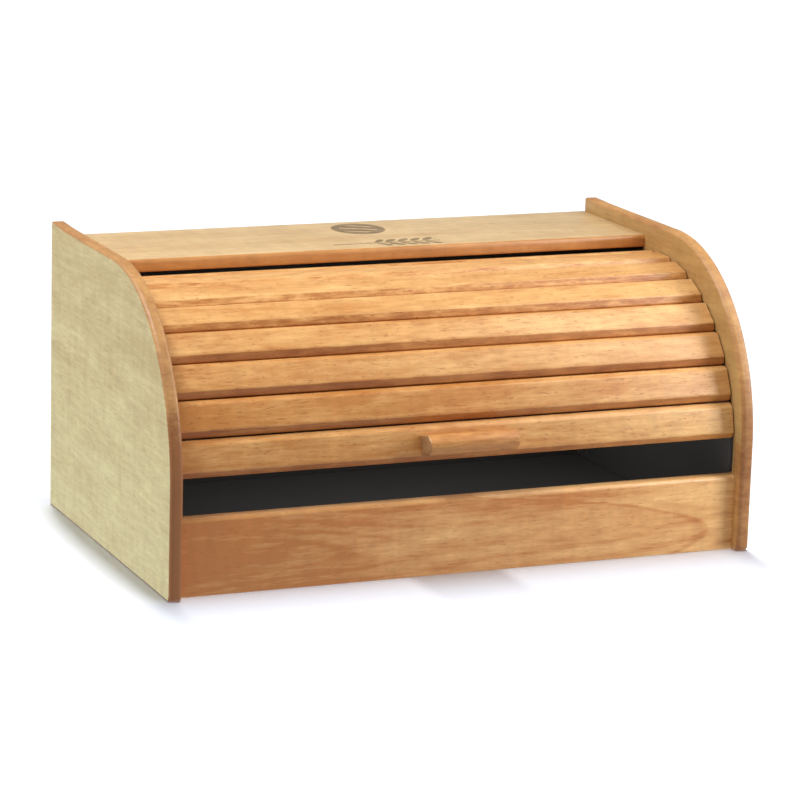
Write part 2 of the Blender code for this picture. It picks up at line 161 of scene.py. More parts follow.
def eased_ends(low: float, high: float, edge: float, steps: int) -> tuple[Array, Array]:
    """Stations along X that round off both ends of a piece.

    Args:
        low: X of its left end.
        high: X of its right end.
        edge: radius of the rounding.
        steps: steps in each quarter circle.

    Returns:
        X of each station, and how far its section is drawn in there.
    """
    depth, inset = edge_stations(edge, steps).T
    return (np.concatenate((low + depth, (high - depth)[::-1])),
            np.concatenate((inset, inset[::-1])))


def across_x(x: Array, sections: Array) -> Array:
    """Set sections in depth and height side by side along X.

    Args:
        x: (m,) places.
        sections: (m, n, 2), or one (n, 2) for all places.

    Returns:
        (m, n, 3) rings.
    """
    sections = np.broadcast_to(sections, (len(x), *sections.shape[-2:]))
    beside = np.broadcast_to(x[:, None, None], (*sections.shape[:2], 1))
    return np.concatenate((beside, sections), axis=2)


def middle(node: str) -> Vector:
    """Return the middle of a frame node's box."""
    low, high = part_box(node)
    return (low + high) / 2


def rectangle(node: str, margin: float = 0.0, behind: float = 0.0) -> Array:
    """Corners of a node's box in depth and height, anticlockwise from the lower front.

    Args:
        node: the frame node.
        margin: how far its sides move out.
        behind: how much further its back moves out.

    Returns:
        (4, 2) corners.
    """
    low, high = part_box(node)
    front, back = low.y - margin, high.y + margin + behind
    foot, head = low.z - margin, high.z + margin
    return np.array(((front, foot), (back, foot), (back, head), (front, head)))


def new_mesh_object(name: str, points: Array, faces: list) -> bpy.types.Object:
    """Put points and faces into a mesh and link its object to the scene.

    Args:
        name: the piece's name.
        points: (n, 3) places.
        faces: vertex indices of each face.

    Returns:
        The new object, at the origin.
    """
    mesh = bpy.data.meshes.new(name)
    mesh.from_pydata(points.tolist(), [], faces)
    mesh.update()
    piece = bpy.data.objects.new(name, mesh)
    bpy.context.scene.collection.objects.link(piece)
    return piece


def loft(name: str, rings: Array) -> bpy.types.Object:
    """Skin a stack of closed rings and close both ends with a flat face.

    Quad (i, j) joins points j and j + 1 of ring i to those of ring i + 1. The enclosed volume,
    summed as six-fold tetrahedra over all triangles, tells which way round the faces must go.

    Args:
        name: the piece's name.
        rings: (m, n, 3), the same number of points in each ring.

    Returns:
        The closed piece with its faces outward.
    """
    count, around = rings.shape[:2]
    index = np.arange(count * around).reshape(count, around)
    ahead = np.roll(index, -1, axis=1)
    quads = np.stack((index[:-1], ahead[:-1], ahead[1:], index[1:]), axis=2).reshape(-1, 4)
    points = rings.reshape(-1, 3)
    first, last = index[0][::-1], index[-1]
    a, b, c, d = (points[quads[:, k]] for k in range(4))
    volume = np.sum(a * np.cross(b, c)) + np.sum(a * np.cross(c, d))
    for cap in (first, last):
        fan = points[cap]
        volume += np.sum(fan[0] * np.cross(fan[1:-1], fan[2:]).sum(axis=0))
    faces = quads.tolist() + [first.tolist(), last.tolist()]
    if volume < 0:
        faces = [face[::-1] for face in faces]
    return new_mesh_object(name, points, faces)


def extrude_x(name: str, section: Array, reach: float, edge: float) -> bpy.types.Object:
    """Carry a section in depth and height along X, and round off its two ends.

    Args:
        name: the piece's name.
        section: (n, 2) anticlockwise outline.
        reach: half the piece's length; it runs from -reach to +reach.
        edge: radius of the rounding at the ends.

    Returns:
        The closed piece.
    """
    x, inset = eased_ends(-reach, reach, edge, 3)
    return loft(name, across_x(x, np.stack([shrink(section, amount) for amount in inset])))


def turned(name: str, profile: Array, start: Vector, direction: Vector,
           sides: int) -> bpy.types.Object:
    """Turn a profile round an axis: each point keeps its radius and its way along the axis.

    Args:
        name: the piece's name.
        profile: (n, 2) radius and distance along the axis, from one end to the other.
        start: where the axis begins.
        direction: which way it goes.
        sides: number of flats round the axis.

    Returns:
        The closed piece.
    """
    axis = np.array(direction.normalized())
    side = np.array(direction.orthogonal().normalized())
    other = np.cross(axis, side)
    angle = np.arange(sides) * tau / sides
    around = np.cos(angle)[:, None] * side + np.sin(angle)[:, None] * other
    rings = (np.array(start) + profile[:, None, 1:] * axis
             + profile[:, None, :1] * around[None, :, :])
    return loft(name, rings)


def carve(piece: bpy.types.Object, tools: list[bpy.types.Object]) -> None:
    """Cut tools out of a piece one after another, and remove them.

    Args:
        piece: the piece that is cut.
        tools: closed cutters.
    """
    for tool in tools:
        cut = piece.modifiers.new("cut", "BOOLEAN")
        cut.object = tool
        cut.operation = "DIFFERENCE"
        weld = piece.modifiers.new("weld", "WELD")
        weld.merge_threshold = 0.002 * MM
        graph = bpy.context.evaluated_depsgraph_get()
        mesh = bpy.data.meshes.new_from_object(piece.evaluated_get(graph))
        piece.modifiers.clear()
        old, piece.data = piece.data, mesh
        bpy.data.meshes.remove(old)
        bpy.data.objects.remove(tool, do_unlink=True)


def places(piece: bpy.types.Object) -> Array:
    """Read where a piece's vertices are.

    Args:
        piece: the piece.

    Returns:
        (n, 3) places.
    """
    points = np.empty(len(piece.data.vertices) * 3, np.float32)
    piece.data.vertices.foreach_get("co", points)
    return points.reshape(-1, 3).astype(float)


def mark(piece: bpy.types.Object, name: str, values: Array) -> None:
    """Store a number or a vector on every vertex for the materials to read.

    Args:
        piece: the piece.
        name: the attribute's name.
        values: (n,) or (n, 3).
    """
    kind, slot = ("FLOAT", "value") if values.ndim == 1 else ("FLOAT_VECTOR", "vector")
    attribute = piece.data.attributes.new(name, kind, "POINT")
    attribute.data.foreach_set(slot, np.ascontiguousarray(values, np.float32).ravel())


# ---- shader writing ---------------------------------------------------------------------------
class Wire:
    """A shader output that takes part in sums, such as 1 - mask * 0.5."""

    def __init__(self, graph: "Graph", socket: bpy.types.NodeSocket) -> None:
        """Hold an output socket and the graph it belongs to."""
        self.graph = graph
        self.socket = socket

    def math(self, operation: str, *others: "Wire | float", clamp: bool = False) -> "Wire":
        """Return the result of a Math node on self and others."""
        return self.graph.math(operation, self, *others, clamp=clamp)

    def __add__(self, other: "Wire | float") -> "Wire":
        """Return self + other."""
        return self.math("ADD", other)

    def __radd__(self, other: float) -> "Wire":
        """Return other + self."""
        return self.graph.math("ADD", other, self)

    def __sub__(self, other: "Wire | float") -> "Wire":
        """Return self - other."""
        return self.math("SUBTRACT", other)

    def __rsub__(self, other: float) -> "Wire":
        """Return other - self."""
        return self.graph.math("SUBTRACT", other, self)

    def __mul__(self, other: "Wire | float") -> "Wire":
        """Return self * other."""
        return self.math("MULTIPLY", other)

    def __rmul__(self, other: float) -> "Wire":
        """Return other * self."""
        return self.graph.math("MULTIPLY", other, self)

    def __truediv__(self, other: "Wire | float") -> "Wire":
        """Return self / other."""
        return self.math("DIVIDE", other)

    def __rtruediv__(self, other: float) -> "Wire":
        """Return other / self."""
        return self.graph.math("DIVIDE", other, self)

    def __pow__(self, other: "Wire | float") -> "Wire":
        """Return self to the power of other."""
        return self.math("POWER", other)

    def __rpow__(self, other: float) -> "Wire":
        """Return other to the power of self."""
        return self.graph.math("POWER", other, self)

    def clamped(self) -> "Wire":
        """Return self held between 0 and 1."""
        return self.math("ADD", 0.0, clamp=True)

    def rise(self, low: float, high: float) -> "Wire":
        """Return 0 below low, 1 above high and a smooth step between them."""
        return self.graph.node("ShaderNodeMapRange", {"interpolation_type": "SMOOTHSTEP"},
                               {"Value": self, "From Min": low, "From Max": high})


class Graph:
    """The node tree of one material or world."""

    def __init__(self, owner: bpy.types.Material | bpy.types.World) -> None:
        """Empty the owner's node tree.

        Args:
            owner: the material or world.
        """
        owner.use_nodes = True
        self.owner = owner
        self.tree = owner.node_tree
        self.tree.nodes.clear()

    def node(self, kind: str, settings: dict | None = None, sockets: dict | None = None,
             output: int | str = 0) -> Wire | None:
        """Add a node, with its settings made first and its sockets second.

        Args:
            kind: the node's type.
            settings: its properties.
            sockets: a value or a wire for each input, by name or number.
            output: which output to return.

        Returns:
            That output, or None for a node that has none.
        """
        node = self.tree.nodes.new(kind)
        for key, value in (settings or {}).items():
            setattr(node, key, value)
        for key, value in (sockets or {}).items():
            if isinstance(value, Wire):
                self.tree.links.new(value.socket, node.inputs[key])
            else:
                node.inputs[key].default_value = value
        return Wire(self, node.outputs[output]) if node.outputs else None

    def math(self, operation: str, *values: Wire | float, clamp: bool = False) -> Wire:
        """Return the result of a Math node on these values."""
        return self.node("ShaderNodeMath", {"operation": operation, "use_clamp": clamp},
                         dict(enumerate(values)))

    def attribute(self, name: str, vector: bool = False) -> Wire:
        """Return a vertex attribute as a number, or as a vector."""
        return self.node("ShaderNodeAttribute", {"attribute_name": name},
                         output="Vector" if vector else "Fac")

    def part(self, vector: Wire, axis: str) -> Wire:
        """Return the X, Y or Z part of a vector."""
        return self.node("ShaderNodeSeparateXYZ", None, {0: vector}, axis)

    def place(self) -> Wire:
        """Return the place on the piece, as Object coordinates."""
        return self.node("ShaderNodeTexCoord", output="Object")

    def xyz(self) -> tuple[Wire, Wire, Wire]:
        """Return the three parts of the place on the piece."""
        place = self.place()
        return self.part(place, "X"), self.part(place, "Y"), self.part(place, "Z")

    def noise(self, place: Wire, sizes: tuple[float, float, float], detail: float = 2.0,
              roughness: float = 0.5, warp: float = 0.0) -> Wire:
        """Noise about zero whose blotches have the given sizes.

        Args:
            place: where on the piece, in metres.
            sizes: length of a blotch along each axis, in metres.
            detail: octaves.
            roughness: weight of the finer octaves.
            warp: distortion.

        Returns:
            A number from about -1 to 1.
        """
        scaled = self.node("ShaderNodeVectorMath", {"operation": "MULTIPLY"},
                           {0: place, 1: tuple(1.0 / size for size in sizes)})
        fac = self.node("ShaderNodeTexNoise", {"noise_dimensions": "3D"},
                        {"Vector": scaled, "Scale": 1.0, "Detail": detail,
                         "Roughness": roughness, "Distortion": warp})
        return (fac - 0.5) * 2.0

    def mix(self, amount: Wire | float, first: Wire | Colour, second: Wire | Colour,
            blend: str = "MIX") -> Wire:
        """Return a colour between two, or the second blended over the first."""
        return self.node("ShaderNodeMix", {"data_type": "RGBA", "blend_type": blend},
                         {0: amount, 6: first, 7: second}, 2)

    def bump(self, height: Wire, distance: float, strength: float = 1.0) -> Wire:
        """Return the normal of a surface raised by height, distance metres at 1."""
        return self.node("ShaderNodeBump", None,
                         {"Strength": strength, "Distance": distance, "Height": height})

    def surface(self, **sockets: Wire | float | Colour) -> bpy.types.Material:
        """Finish the material with a Principled shader.

        Args:
            sockets: a value or a wire for each input, by name with _ for blanks.

        Returns:
            The material.
        """
        named = {key.replace("_", " "): value for key, value in sockets.items()}
        shader = self.node("ShaderNodeBsdfPrincipled", None, named)
        self.node("ShaderNodeOutputMaterial", None, {"Surface": shader})
        return self.owner


# ---- finishes -----------------------------------------------------------------------------------
# Charcoal painted shade for the inside of the box.
INSIDE_SHADE = display(92, 90, 89)


@dataclass(frozen=True)
class Arch:
    """A tall grain arch on a board: lines along F = (nose - x) - ((z - height) / spread)^2."""

    nose: float
    height: float
    spread: float


@dataclass(frozen=True)
class BakersMark:
    """A generic mark burnt into the upper side of a board: a loaf behind a wheat ear."""

    x: float
    y: float
    z: float
    length: float = 76 * MM
    ear: float = 48 * MM
    step: float = 8.6 * MM
    loaf: float = 50 * MM
    burnt: Colour = display(116, 92, 60)
    unsteady: float = 0.7 * MM
    grain_half: tuple[float, float] = (3.5 * MM, 4.6 * MM)
    grain_aside: float = 6.0 * MM
    loaf_half: tuple[float, float] = (18 * MM, 19 * MM)
    slash_gap: float = 5.5 * MM

    def ink(self, g: Graph) -> Wire:
        """How strongly the mark is burnt in at each place.

        Args:
            g: the material's graph.

        Returns:
            0 on plain wood to 1 on the mark.
        """
        waver = g.noise(g.place(), (0.004, 0.004, 0.004)) * self.unsteady
        x, y, z = g.xyz()
        x, y = x - self.x + waver, y - self.y + waver
        upper = z.rise(self.z - 0.6 * MM, self.z - 0.3 * MM)
        ear = self._ear(x + self.length / 2, y.math("ABSOLUTE"))
        return ear.math("MAXIMUM", self._loaf(x, y - self.loaf)) * upper

    def _ear(self, along: Wire, aside: Wire) -> Wire:
        """A stem with grains on both sides.

        One grain is the ellipse (u / a)^2 + (v / b)^2 < 1; u repeats with the step and leans
        back with v.

        Args:
            along: distance from the foot of the stem.
            aside: distance from the stem, either way.

        Returns:
            1 on the ear.
        """
        end = 1.0 - along.rise(self.length - 1 * MM, self.length)
        stem = (1.0 - aside.rise(0.7 * MM, 1.3 * MM)) * along.rise(0.0, 1.0 * MM) * end
        lean = along - aside * 0.7
        u = lean.math("FLOORED_MODULO", self.step) - self.step / 2
        v = aside - self.grain_aside
        grains = (u * u) / self.grain_half[0] ** 2 + (v * v) / self.grain_half[1] ** 2
        start = self.length - self.ear
        within = lean.rise(start, start + 0.5 * MM)
        tip = 1.0 - lean.rise(self.length - 6 * MM, self.length - 5.5 * MM)
        return stem.math("MAXIMUM", (1.0 - grains.rise(0.75, 1.1)) * within * tip)

    def _loaf(self, x: Wire, y: Wire) -> Wire:
        """An oval loaf with slanting slashes that are left bare.

        Args:
            x: distance to the right of its middle.
            y: distance behind its middle.

        Returns:
            1 on the loaf.
        """
        size = (x * x) / self.loaf_half[0] ** 2 + (y * y) / self.loaf_half[1] ** 2
        slash = (y + x * 0.5).math("PINGPONG", self.slash_gap)
        bare = (1.0 - slash.rise(1.0 * MM, 1.7 * MM)) * (1.0 - size.rise(0.42, 0.52))
        return (1.0 - size.rise(0.92, 1.06)) * (1.0 - bare)


@dataclass(frozen=True)
class PanelPaintedShade:
    """Painted shade on a panel's inner side: charcoal inside the box, and the rim's darker colour
    on the strip in front of it.
    """

    colour: Colour
    radius: float = 106.6 * MM
    fade: float = 0.6 * MM

    @staticmethod
    def nose(g: Graph) -> Wire:
        """Where a panel's inner side takes the rim's darker colour as painted shade: the strip
        before the rail.

        Args:
            g: the material's graph.

        Returns:
            1 on the strip, 0 elsewhere.
        """
        x, y, z = g.xyz()
        low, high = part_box("front_rail")
        outer_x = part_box("side_panel_right")[1].x
        before = 1.0 - y.rise(low.y + 1 * MM, low.y + 4 * MM)
        beside = 1.0 - z.rise(high.z + 14 * MM, high.z + 30 * MM)
        not_outside = 1.0 - x.math("ABSOLUTE").rise(outer_x - 1 * MM, outer_x - 0.5 * MM)
        return before * beside * not_outside

    def inside(self, g: Graph) -> Wire:
        """Where a panel's inner side is painted charcoal as painted shade: within the track, and
        behind it to the back.

        Args:
            g: the material's graph.

        Returns:
            1 on the shaded part, 0 elsewhere.
        """
        x, y, z = g.xyz()
        centre = Vector(frame["joints"][0]["pos_m"])
        outer_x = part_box("side_panel_right")[1].x
        ceiling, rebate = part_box("top_board")[0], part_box("back_panel")[0]
        depth, height = y - centre.y, z - centre.z
        radius = (depth * depth + height * height) ** 0.5
        within = 1.0 - radius.rise(self.radius, self.radius + self.fade)
        behind = y.rise(ceiling.y + 2 * MM, ceiling.y + 3 * MM)
        under = 1.0 - z.rise(ceiling.z - 0.5 * MM, ceiling.z)
        before_back = 1.0 - y.rise(rebate.y - 1 * MM, rebate.y - 0.5 * MM)
        over_foot = z.rise(rebate.z - 0.2 * MM, rebate.z)
        inner = 1.0 - x.math("ABSOLUTE").rise(outer_x - 2.2 * MM, outer_x - 2 * MM)
        return inner * within.math("MAXIMUM", behind * under * before_back * over_foot)


@dataclass(frozen=True)
class Wood:
    """Lacquered rubberwood.

    The fibres follow the vertex attribute "grain", in metres: X along them, Y across the face, Z
    into the board. The attribute "rim" tells the worked edges from the faces and also carries
    painted shade on the slats' lower bevels, and "tone" makes a board lighter or darker than its
    neighbours and also carries painted shade that darkens parts of some boards.
    """

    name: str
    slot: str
    pale: Colour
    warm: Colour
    deep: Colour
    rim_pale: Colour
    rim_warm: Colour
    streaks: float = 1.0
    flecks: float = 1.0
    figure: float = 1.0
    blotches: float = 1.0
    roughness: float = 0.40
    coat: float = 0.10
    coat_roughness: float = 0.25
    relief: float = 0.05 * MM
    arch: Arch | None = None
    painted_light_tint: Colour | None = None
    painted_shade: PanelPaintedShade | None = None
    mark: BakersMark | None = None

    @cached_property
    def material(self) -> bpy.types.Material:
        """The finish as a material.

        Returns:
            A material that mixes broad bands, growth lines, fine streaks and short dark
            vessels, and lifts them slightly as relief.
        """
        g = Graph(bpy.data.materials.new(self.name))
        grain = g.attribute("grain", vector=True)
        tone = g.attribute("tone")
        bands = g.noise(grain, (0.180, 0.022, 0.030), 2.0)
        growth = g.noise(grain, (0.340, 0.052, 0.060), 1.0, 0.4)
        lines = ((growth * 46.0).math("SINE") * 0.5 + 0.5) ** 3.0
        mottle = g.noise(grain, (0.017, 0.0036, 0.0060), 3.0, 0.65, 0.3)
        streaks = g.noise(grain, (0.034, 0.0015, 0.0040), 3.0, 0.6)
        fibres = g.noise(grain, (0.014, 0.0007, 0.0012), 2.0, 0.6)
        ripple = g.noise(grain, (0.0070, 0.030, 0.030), 2.0)
        patches = g.noise(grain, (0.060, 0.018, 0.020), 3.0)
        vessels = g.noise(grain, (0.0058, 0.0012, 0.0026), 2.0, 0.6).rise(0.20, 0.40)
        spots = g.noise(grain, (0.0110, 0.0028, 0.0050), 3.0, 0.7).rise(0.28, 0.48)

        warmth = (0.44 + bands * 0.55 * self.figure + streaks * 0.34 * self.streaks
                  + fibres * 0.18 * self.streaks + lines * 0.16 * self.figure
                  + mottle * 0.48 * self.blotches + patches * 0.52 * self.blotches + tone)
        if self.arch:
            warmth = warmth + self._arch(g, grain)
        warmth = warmth.clamped()
        rim = g.attribute("rim")
        if self.painted_shade:
            # Painted shade: the strip of the panel's inner side before the rail takes the rim's
            # darker colour.
            rim = rim.math("MAXIMUM", self.painted_shade.nose(g) * 0.9)
        rim = (rim + mottle * 0.55 + streaks * 0.2).rise(0.22, 0.78)
        face = g.mix(warmth, self.pale, self.warm)
        edge = g.mix(warmth, self.rim_pale, self.rim_warm)
        light = 1.0 + ripple * 0.12 - mottle * 0.08
        grey = g.node("ShaderNodeCombineColor", None, {0: light, 1: light, 2: light})
        colour = g.mix(1.0, g.mix(rim, self._paint_outer_light(g, face), edge), grey, "MULTIPLY")
        dark = ((vessels * 0.50 + spots * 0.36) * self.flecks).clamped()
        colour = g.mix(dark, colour, self.deep)
        if self.painted_shade:
            # Painted shade: the panel's inner side inside the box is painted charcoal.
            colour = g.mix(self.painted_shade.inside(g), colour, self.painted_shade.colour)
        if self.mark:
            colour = g.mix(self.mark.ink(g) * (0.84 + mottle * 0.4), colour, self.mark.burnt)
        height = fibres * 0.35 + streaks * 0.3 - vessels * 0.5
        return g.surface(
            Base_Color=colour,
            Roughness=self.roughness + streaks * 0.05 + vessels * 0.10 + ripple * 0.03,
            Coat_Weight=self.coat,
            Coat_Roughness=self.coat_roughness,
            Normal=g.bump(height, self.relief, 0.6),
        )

    def _paint_outer_light(self, g: Graph, face: Wire) -> Wire:
        """Paint light on the side of a panel that looks outward: painted light makes it paler and
        greener.

        Args:
            g: the material's graph.
            face: colour of the inner side.

        Returns:
            The face's colour, with painted light that makes it paler and greener where the
            attribute "outer" is 1.
        """
        if not self.painted_light_tint:
            return face
        return g.mix(g.attribute("outer"), face, g.mix(1.0, face, self.painted_light_tint, "MULTIPLY"))

    def _arch(self, g: Graph, grain: Wire) -> Wire:
        """Extra warmth inside an arch and a soft line along its edge.

        Args:
            g: the material's graph.
            grain: place in the board.

        Returns:
            A number to add to the warmth.
        """
        waver = g.noise(grain, (0.040, 0.014, 0.014), 2.0) * 2.6 * MM
        up = (g.part(grain, "Y") + waver - self.arch.height) / self.arch.spread
        inside = (self.arch.nose - g.part(grain, "X")) / MM - up * up
        line = inside.rise(-4.0, 1.0) - inside.rise(1.0, 12.0)
        second = inside.rise(-34.0, -28.0) - inside.rise(-28.0, -14.0)
        return inside.rise(-3.0, 4.0) * 0.16 + line * 0.34 + second * 0.12


@dataclass(frozen=True)
class Board:
    """Thin board, painted charcoal as painted shade on the side marked by the attribute "inner".
    """

    name: str = "shade_painted_board"
    slot: str = "thin_board"
    painted_shade: Colour = INSIDE_SHADE
    pale: Colour = display(214, 178, 128)
    warm: Colour = display(180, 132, 84)
    # Darker streaks in the charcoal painted shade.
    painted_darkness: Colour = display(72, 70, 69)
    relief: float = 0.06 * MM

    @cached_property
    def material(self) -> bpy.types.Material:
        """The finish as a material.

        Returns:
            Rotary-cut veneer outside and charcoal painted shade inside.
        """
        g = Graph(bpy.data.materials.new(self.name))
        grain = g.attribute("grain", vector=True)
        inner = g.attribute("inner")
        growth = g.noise(grain, (0.260, 0.070, 0.070), 2.0, 0.4, 0.6)
        lines = (growth * 60.0).math("SINE") * 0.5 + 0.5
        streaks = g.noise(grain, (0.060, 0.0014, 0.0030), 3.0, 0.6)
        warmth = (0.4 + lines * 0.25 + streaks * 0.6 + growth * 0.4).clamped()
        veneer = g.mix(warmth, self.pale, self.warm)
        shade = (1.0 + streaks * 0.25).clamped()
        painted_shade = g.mix(shade, self.painted_darkness, self.painted_shade)
        return g.surface(
            Base_Color=g.mix(inner, veneer, painted_shade),
            Roughness=0.62 + streaks * 0.08 - inner * 0.05,
            Normal=g.bump(streaks, self.relief, 0.6),
        )


@dataclass(frozen=True)
class Canvas:
    """Charcoal canvas in plain weave, its dark colour painted shade for the inside of the box; the
    UV map counts threads both ways.
    """

    name: str = "charcoal_canvas"
    slot: str = "canvas"
    thread: Colour = display(62, 60, 58)
    hollow_shade: Colour = display(24, 23, 23)
    pitch: float = 0.9 * MM
    relief: float = 0.12 * MM

    @cached_property
    def material(self) -> bpy.types.Material:
        """The finish as a material.

        A thread's height is |sin| of its count times pi, and the sign of the product of both
        half counts' sines tells which thread is over.

        Returns:
            Threads that cross over and under in turn, with painted shade in the dark hollows
            between them.
        """
        g = Graph(bpy.data.materials.new(self.name))
        place = g.node("ShaderNodeUVMap", {"uv_map": "cloth"})
        u, v = g.part(place, "X") * (pi / self.pitch), g.part(place, "Y") * (pi / self.pitch)
        across, along = u.math("SINE").math("ABSOLUTE"), v.math("SINE").math("ABSOLUTE")
        over = ((u * 0.5).math("SINE") * (v * 0.5).math("SINE")).rise(-0.1, 0.1)
        height = over * across + (1.0 - over) * along
        slub = g.noise(place, (0.012, 0.0011, 1.0), 2.0)
        shade = (height * 0.8 + slub * 0.25 + 0.1).clamped()
        return g.surface(
            Base_Color=g.mix(shade, self.hollow_shade, self.thread),
            Roughness=0.88 - height * 0.06,
            Normal=g.bump(height + slub * 0.3, self.relief, 0.8),
        )


@dataclass(frozen=True)
class Steel:
    """Zinc-plated steel with fine turning marks."""

    name: str = "zinc_steel"
    slot: str = "steel"
    bright: Colour = display(196, 198, 196)
    dull: Colour = display(140, 138, 130)
    relief: float = 0.02 * MM

    @cached_property
    def material(self) -> bpy.types.Material:
        """The finish as a material.

        Returns:
            Cloudy plating over a bright ground.
        """
        g = Graph(bpy.data.materials.new(self.name))
        cloud = g.noise(g.place(), (0.0012, 0.0012, 0.0012), 3.0)
        scratch = g.noise(g.place(), (0.0040, 0.0003, 0.0003))
        return g.surface(
            Base_Color=g.mix((0.5 + cloud * 0.8).clamped(), self.bright, self.dull),
            Metallic=1.0,
            Roughness=0.34 + cloud * 0.12 + scratch * 0.08,
            Normal=g.bump(scratch, self.relief, 0.5),
        )


PANEL_WOOD = Wood(
    name="panel_wood", slot="panel_wood",
    pale=display(202, 168, 108), warm=display(172, 132, 78), deep=display(140, 108, 64),
    rim_pale=display(210, 160, 98), rim_warm=display(156, 98, 52),
    streaks=0.7, flecks=0.45, figure=0.5, blotches=0.8, roughness=0.48,
    painted_light_tint=(1.32, 1.83, 2.56, 1.0), painted_shade=PanelPaintedShade(display(106, 105, 104)))
TOP_WOOD = Wood(
    name="top_wood", slot="top_wood",
    pale=display(222, 192, 144), warm=display(196, 158, 108), deep=display(160, 120, 72),
    rim_pale=display(208, 150, 88), rim_warm=display(170, 106, 50), streaks=0.8, flecks=0.6,
    blotches=0.6,
    mark=BakersMark(8 * MM, 46 * MM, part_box("top_board")[1].z))
RAIL_WOOD = Wood(
    name="rail_wood", slot="rail_wood",
    pale=display(248, 196, 130), warm=display(204, 130, 68), deep=display(156, 82, 32),
    rim_pale=display(246, 198, 134), rim_warm=display(214, 150, 88),
    flecks=0.6, figure=1.5, blotches=0.85,
    arch=Arch(nose=168 * MM, height=14 * MM, spread=2.7 * MM))
SLAT_WOOD = Wood(
    name="slat_wood", slot="slat_wood",
    pale=display(236, 186, 120), warm=display(196, 130, 66), deep=display(152, 76, 24),
    rim_pale=display(208, 142, 76), rim_warm=display(158, 92, 40))
HANDLE_WOOD = Wood(
    name="handle_wood", slot="handle_wood",
    pale=display(216, 156, 88), warm=display(174, 108, 54), deep=display(140, 78, 34),
    rim_pale=display(172, 130, 90), rim_warm=display(140, 98, 64), figure=0.5)
DOWEL_WOOD = Wood(
    name="dowel_wood", slot="dowel_wood",
    pale=display(226, 194, 144), warm=display(200, 156, 104), deep=display(150, 110, 70),
    rim_pale=display(200, 166, 120), rim_warm=display(176, 136, 92), roughness=0.6)
SHADE_PAINTED_BOARD = Board()
CHARCOAL_CANVAS = Canvas()
ZINC_STEEL = Steel()

Finish = Wood | Board | Canvas | Steel


def dress(piece: bpy.types.Object, finish: Finish, node: str, body: str,
          sharp: float = 35.0) -> None:
    """Smooth a piece, give it its finish, attach it to its body and hide the frame node it
    replaces.

    Args:
        piece: the piece.
        finish: its material.
        node: the frame node that it replaces.
        body: the body that it rides on.
        sharp: edges that turn by more than this, in degrees, stay sharp.
    """
    piece.data.shade_smooth()
    piece.data.set_sharp_from_angle(angle=radians(sharp))
    piece.data.materials.clear()
    piece.data.materials.append(finish.material)
    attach(piece, body)
    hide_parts(node)
    log.info("%s: %d vertices", piece.name, len(piece.data.vertices))


class Grain(Enum):
    """Order of the axes of a board's place: along its fibres, across its face, through it."""

    RAIL = (0, 2, 1)
    SHELF = (0, 1, 2)
    PANEL = (1, 2, 0)


def set_grain(piece: bpy.types.Object, grain: Grain, shift: Array | tuple,
              tone: Array | float = 0.0) -> None:
    """Mark where each vertex of a board was in its log.

    Args:
        piece: the board.
        grain: which way its fibres run.
        shift: where in the log it was cut.
        tone: how much warmer than its neighbours it is, or each of its vertices.
    """
    points = places(piece)
    mark(piece, "grain", points[:, list(grain.value)] + np.array(shift))
    mark(piece, "tone", np.broadcast_to(tone, len(points)))


# ---- the carcass --------------------------------------------------------------------------------
@dataclass
class Track:
    """The circular track of the roll top: angles count from the front upwards."""

    centre: Vector = field(default_factory=lambda: Vector(frame["joints"][0]["pos_m"]))
    face_radius: float = 112.1 * MM
    thickness: float = 7.0 * MM

    @property
    def inner_radius(self) -> float:
        """Radius to the back of the slats."""
        return self.face_radius - self.thickness

    def section(self, angle: Array | float, local: Array) -> Array:
        """Set points that are drawn as (offset along the track, radius) at an angle.

        Depth is the centre less radius * cos plus offset * sin; height is the centre plus
        radius * sin plus offset * cos.

        Args:
            angle: where on the track, for all points or for each.
            local: (..., 2) offsets and radii.

        Returns:
            (..., 2) depths and heights.
        """
        offset, radius = local[..., 0], local[..., 1]
        return np.stack((self.centre.y - radius * np.cos(angle) + offset * np.sin(angle),
                         self.centre.z + radius * np.sin(angle) + offset * np.cos(angle)),
                        axis=-1)

    def local(self, angle: float, points: Array) -> Array:
        """Undo section() for whole points.

        Args:
            angle: where on the track.
            points: (n, 3) places.

        Returns:
            (n, 3) of X, offset along the track and radius.
        """
        y, z = points[:, 1] - self.centre.y, points[:, 2] - self.centre.z
        return np.stack((points[:, 0], y * sin(angle) + z * cos(angle),
                         -y * cos(angle) + z * sin(angle)), axis=1)


